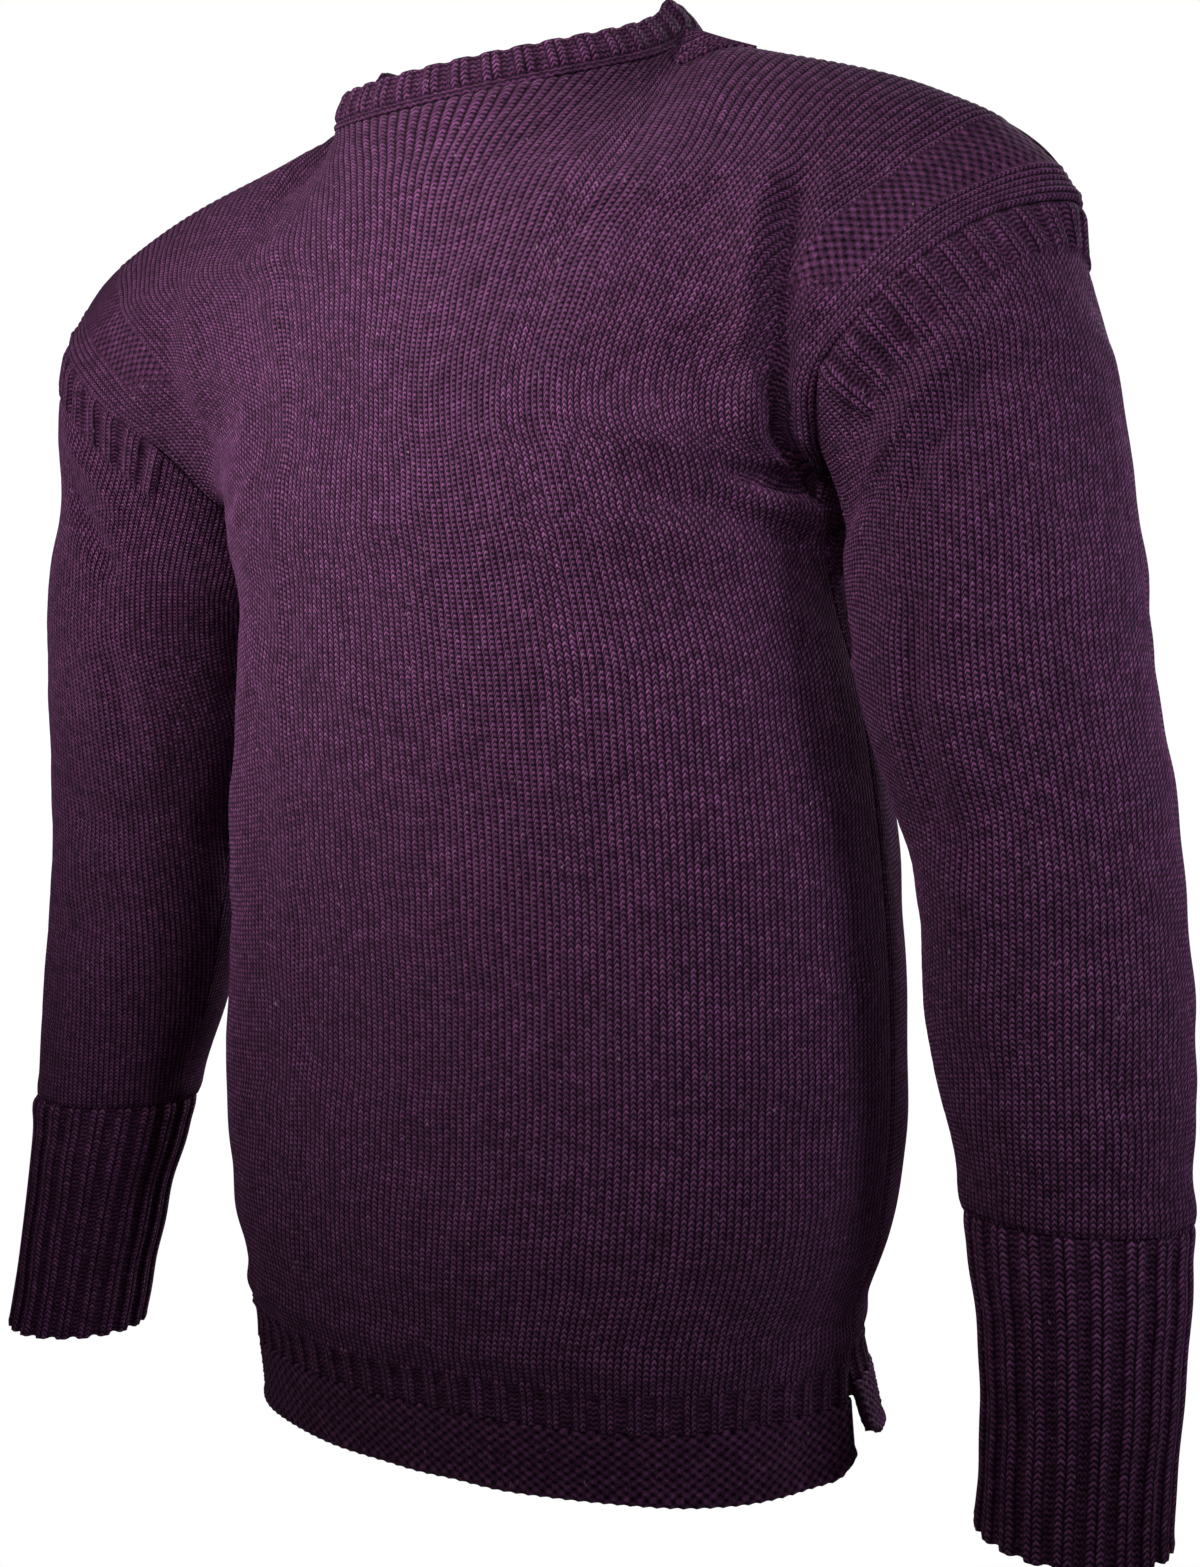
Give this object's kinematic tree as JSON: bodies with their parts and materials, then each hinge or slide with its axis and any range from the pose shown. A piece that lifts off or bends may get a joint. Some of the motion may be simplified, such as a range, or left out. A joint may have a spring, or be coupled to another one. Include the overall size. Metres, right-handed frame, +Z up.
{
  "type": "guernsey fisherman sweater",
  "caption": "Hollow worn form of a knitted fisherman's sweater with a ribbed collar, drop shoulders, underarm and neck gussets, long ribbed cuffs and split garter welts.",
  "frame": {"origin": "in the middle of the neck opening at the height of the shoulders, where the wearer holds the garment up", "axes": "+Z up, the wearer faces -Y, the wearer's left arm is at +X"},
  "size_m": [0.6345, 0.2639, 0.6827],
  "materials": {
    "body_front_wool": "knitted wool",
    "body_back_wool": "knitted wool",
    "welt_front_wool": "knitted wool",
    "welt_back_wool": "knitted wool",
    "collar_wool": "knitted wool",
    "sleeve_left_wool": "knitted wool",
    "sleeve_right_wool": "knitted wool",
    "cuff_left_wool": "knitted wool",
    "cuff_right_wool": "knitted wool",
    "neck_gusset_left_wool": "knitted wool",
    "neck_gusset_right_wool": "knitted wool",
    "underarm_gusset_left_wool": "knitted wool",
    "underarm_gusset_right_wool": "knitted wool"
  },
  "bodies": {
    "root": {"body_front": "body_front_wool", "body_back": "body_back_wool", "welt_front": "welt_front_wool", "welt_back": "welt_back_wool", "collar": "collar_wool", "sleeve_left": "sleeve_left_wool", "sleeve_right": "sleeve_right_wool", "cuff_left": "cuff_left_wool", "cuff_right": "cuff_right_wool", "neck_gusset_left": "neck_gusset_left_wool", "neck_gusset_right": "neck_gusset_right_wool", "underarm_gusset_left": "underarm_gusset_left_wool", "underarm_gusset_right": "underarm_gusset_right_wool"}
  },
  "joints": []
}
